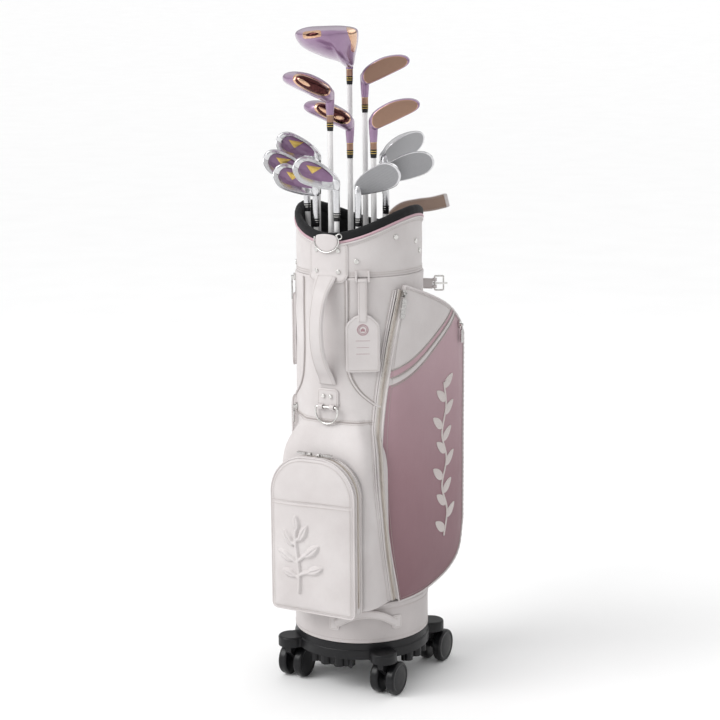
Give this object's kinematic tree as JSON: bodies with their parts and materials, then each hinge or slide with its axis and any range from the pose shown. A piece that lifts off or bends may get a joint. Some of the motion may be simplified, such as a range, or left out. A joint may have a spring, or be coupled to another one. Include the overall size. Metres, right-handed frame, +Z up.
{
  "type": "golf club set",
  "caption": "Golf bag on swivelling twin-wheel casters, with pockets, grab handle and hanging tag, holding a set of upside-down clubs that lift out.",
  "frame": {"origin": "on the bag's axis, on the floor between the casters", "axes": "+Z up the bag, -Y towards the spine with the grab handle and ball pocket, +X towards the garment pocket"},
  "size_m": [0.3154, 0.389, 1.2254],
  "materials": {
    "black_plastic": "moulded, fine texture",
    "wheel_black": "smooth moulded",
    "white_leather": "soft synthetic leather, fine grain",
    "mauve_leather": "soft synthetic leather, graded mauve",
    "black_padding": "padded knit",
    "pink_piping": "piping",
    "fittings_metal": "polished nickel",
    "zip_metal": "antique nickel",
    "violet_head": "pearl violet lacquer with rose-gold plates",
    "iron_steel": "satin steel",
    "white_shaft": "pearl white lacquer; ferrule and grip are moulded"
  },
  "bodies": {
    "bag": {"caster_base": "black_plastic", "foot_cup": "white_leather", "body_shell": "white_leather", "cuff": "white_leather", "rim_binding": "black_padding", "rim_piping": "pink_piping", "divider": "black_padding", "front_pocket": "white_leather", "garment_pocket": "mauve_leather", "flat_pockets": "white_leather", "handle_patch": "white_leather", "grab_handle": "white_leather", "ring_tab": "white_leather", "tag_keeper": "white_leather", "metal_fittings": "fittings_metal", "carry_loop": "white_leather", "shoulder_strap": "white_leather"},
    "caster_front_left": {"caster_fork_front_left": "black_plastic"},
    "wheels_front_left": {"caster_wheels_front_left": "wheel_black"},
    "caster_front_right": {"caster_fork_front_right": "black_plastic"},
    "wheels_front_right": {"caster_wheels_front_right": "wheel_black"},
    "caster_back_right": {"caster_fork_back_right": "black_plastic"},
    "wheels_back_right": {"caster_wheels_back_right": "wheel_black"},
    "caster_back_left": {"caster_fork_back_left": "black_plastic"},
    "wheels_back_left": {"caster_wheels_back_left": "wheel_black"},
    "ring": {"d_ring": "fittings_metal"},
    "tag": {"name_tag": "white_leather"},
    "pull_garment_far": {"zip_pull_garment_far": "zip_metal"},
    "pull_front_left": {"zip_pull_front_left": "zip_metal"},
    "pull_front_right": {"zip_pull_front_right": "zip_metal"},
    "pull_side_upper": {"zip_pull_side_upper": "zip_metal"},
    "pull_side_lower": {"zip_pull_side_lower": "zip_metal"},
    "slider": {"zip_slider_garment": "zip_metal"},
    "pull_garment": {"zip_pull_garment": "zip_metal"},
    "buckle": {"belt_buckle": "fittings_metal"},
    "prong": {"buckle_prong": "fittings_metal"},
    "club_driver": {"driver_head": "violet_head", "driver_shaft": "white_shaft"},
    "club_fairway_left": {"fairway_left_head": "violet_head", "fairway_left_shaft": "white_shaft"},
    "club_fairway_right": {"fairway_right_head": "violet_head", "fairway_right_shaft": "white_shaft"},
    "club_hybrid_left": {"hybrid_left_head": "violet_head", "hybrid_left_shaft": "white_shaft"},
    "club_hybrid_right": {"hybrid_right_head": "violet_head", "hybrid_right_shaft": "white_shaft"},
    "club_iron_a": {"iron_a_head": "iron_steel", "iron_a_shaft": "white_shaft"},
    "club_iron_b": {"iron_b_head": "iron_steel", "iron_b_shaft": "white_shaft"},
    "club_iron_c": {"iron_c_head": "iron_steel", "iron_c_shaft": "white_shaft"},
    "club_iron_d": {"iron_d_head": "iron_steel", "iron_d_shaft": "white_shaft"},
    "club_iron_e": {"iron_e_head": "iron_steel", "iron_e_shaft": "white_shaft"},
    "club_wedge_f": {"wedge_f_head": "iron_steel", "wedge_f_shaft": "white_shaft"},
    "club_wedge_g": {"wedge_g_head": "iron_steel", "wedge_g_shaft": "white_shaft"}
  },
  "joints": [
    {"name": "swivel_front_left", "type": "hinge", "parent": "bag", "child": "caster_front_left", "pos_m": [-0.099, -0.099, 0.07], "axis": [0, 0, 1], "continuous": true},
    {"name": "roll_front_left", "type": "hinge", "parent": "caster_front_left", "child": "wheels_front_left", "pos_m": [-0.099, -0.079, 0.031], "axis": [1, 0, 0], "continuous": true},
    {"name": "swivel_front_right", "type": "hinge", "parent": "bag", "child": "caster_front_right", "pos_m": [0.099, -0.099, 0.07], "axis": [0, 0, 1], "continuous": true},
    {"name": "roll_front_right", "type": "hinge", "parent": "caster_front_right", "child": "wheels_front_right", "pos_m": [0.099, -0.079, 0.031], "axis": [1, 0, 0], "continuous": true},
    {"name": "swivel_back_right", "type": "hinge", "parent": "bag", "child": "caster_back_right", "pos_m": [0.099, 0.099, 0.07], "axis": [0, 0, 1], "continuous": true},
    {"name": "roll_back_right", "type": "hinge", "parent": "caster_back_right", "child": "wheels_back_right", "pos_m": [0.099, 0.119, 0.031], "axis": [1, 0, 0], "continuous": true},
    {"name": "swivel_back_left", "type": "hinge", "parent": "bag", "child": "caster_back_left", "pos_m": [-0.099, 0.099, 0.07], "axis": [0, 0, 1], "continuous": true},
    {"name": "roll_back_left", "type": "hinge", "parent": "caster_back_left", "child": "wheels_back_left", "pos_m": [-0.099, 0.119, 0.031], "axis": [1, 0, 0], "continuous": true},
    {"name": "ring_swing", "type": "hinge", "parent": "bag", "child": "ring", "pos_m": [-0.00218, -0.12498, 0.545], "axis": [-0.9998, 0.0175, 0], "range_deg": [0, 120]},
    {"name": "tag_swing", "type": "hinge", "parent": "bag", "child": "tag", "pos_m": [0.06335, -0.10543, 0.778], "axis": [-0.8572, -0.515, 0], "range_deg": [0, 90]},
    {"name": "pull_swing_garment_far", "type": "hinge", "parent": "bag", "child": "pull_garment_far", "pos_m": [0.15679, 0.11167, 0.672], "axis": [-0.0599, -0.9982, 0], "range_deg": [0, 110]},
    {"name": "pull_swing_front_left", "type": "hinge", "parent": "bag", "child": "pull_front_left", "pos_m": [-0.011, -0.17, 0.4669], "axis": [0, 1, 0], "range_deg": [0, 75]},
    {"name": "pull_swing_front_right", "type": "hinge", "parent": "bag", "child": "pull_front_right", "pos_m": [0.007, -0.17, 0.4669], "axis": [0, -1, 0], "range_deg": [0, 75]},
    {"name": "pull_swing_side_upper", "type": "hinge", "parent": "bag", "child": "pull_side_upper", "pos_m": [-0.09975, -0.07517, 0.772], "axis": [-0.6018, 0.7986, 0], "range_deg": [0, 110]},
    {"name": "pull_swing_side_lower", "type": "hinge", "parent": "bag", "child": "pull_side_lower", "pos_m": [-0.09842, -0.0769, 0.528], "axis": [-0.6157, 0.788, 0], "range_deg": [0, 110]},
    {"name": "zip_travel", "type": "slide", "parent": "bag", "child": "slider", "axis": [-0.0679, -0.1799, -0.9813], "range_m": [0, 0.11]},
    {"name": "pull_swing_garment", "type": "hinge", "parent": "slider", "child": "pull_garment", "pos_m": [0.12349, -0.05481, 0.75218], "axis": [-0.5008, -0.8445, 0.1895], "range_deg": [0, 110]},
    {"name": "buckle_swing", "type": "hinge", "parent": "bag", "child": "buckle", "pos_m": [0.09517, 0.12251, 0.746], "axis": [0, 0, 1], "range_deg": [-70, 70]},
    {"name": "prong_swing", "type": "hinge", "parent": "buckle", "child": "prong", "pos_m": [0.09517, 0.12251, 0.746], "axis": [0, 0, -1], "range_deg": [0, 66]},
    {"name": "lift_driver", "type": "slide", "parent": "bag", "child": "club_driver", "axis": [0, 0, 1], "range_m": [0, 0.8]},
    {"name": "lift_fairway_left", "type": "slide", "parent": "bag", "child": "club_fairway_left", "axis": [0, 0, 1], "range_m": [0, 0.8]},
    {"name": "lift_fairway_right", "type": "slide", "parent": "bag", "child": "club_fairway_right", "axis": [0, 0, 1], "range_m": [0, 0.8]},
    {"name": "lift_hybrid_left", "type": "slide", "parent": "bag", "child": "club_hybrid_left", "axis": [0, 0, 1], "range_m": [0, 0.045]},
    {"name": "lift_hybrid_right", "type": "slide", "parent": "bag", "child": "club_hybrid_right", "axis": [0, 0, 1], "range_m": [0, 0.8]},
    {"name": "lift_iron_a", "type": "slide", "parent": "bag", "child": "club_iron_a", "axis": [0, 0, 1], "range_m": [0, 0.16]},
    {"name": "lift_iron_b", "type": "slide", "parent": "bag", "child": "club_iron_b", "axis": [-0.0257, -0.0183, 0.9995], "range_m": [0, 0.05]},
    {"name": "lift_iron_c", "type": "slide", "parent": "bag", "child": "club_iron_c", "axis": [0, 0, 1], "range_m": [0, 0.1]},
    {"name": "lift_iron_d", "type": "slide", "parent": "bag", "child": "club_iron_d", "axis": [0, 0, 1], "range_m": [0, 0.1]},
    {"name": "lift_iron_e", "type": "slide", "parent": "bag", "child": "club_iron_e", "axis": [0, 0, 1], "range_m": [0, 0.78]},
    {"name": "lift_wedge_f", "type": "slide", "parent": "bag", "child": "club_wedge_f", "axis": [0, 0, 1], "range_m": [0, 0.115]},
    {"name": "lift_wedge_g", "type": "slide", "parent": "bag", "child": "club_wedge_g", "axis": [0, 0, 1], "range_m": [0, 0.18]}
  ]
}
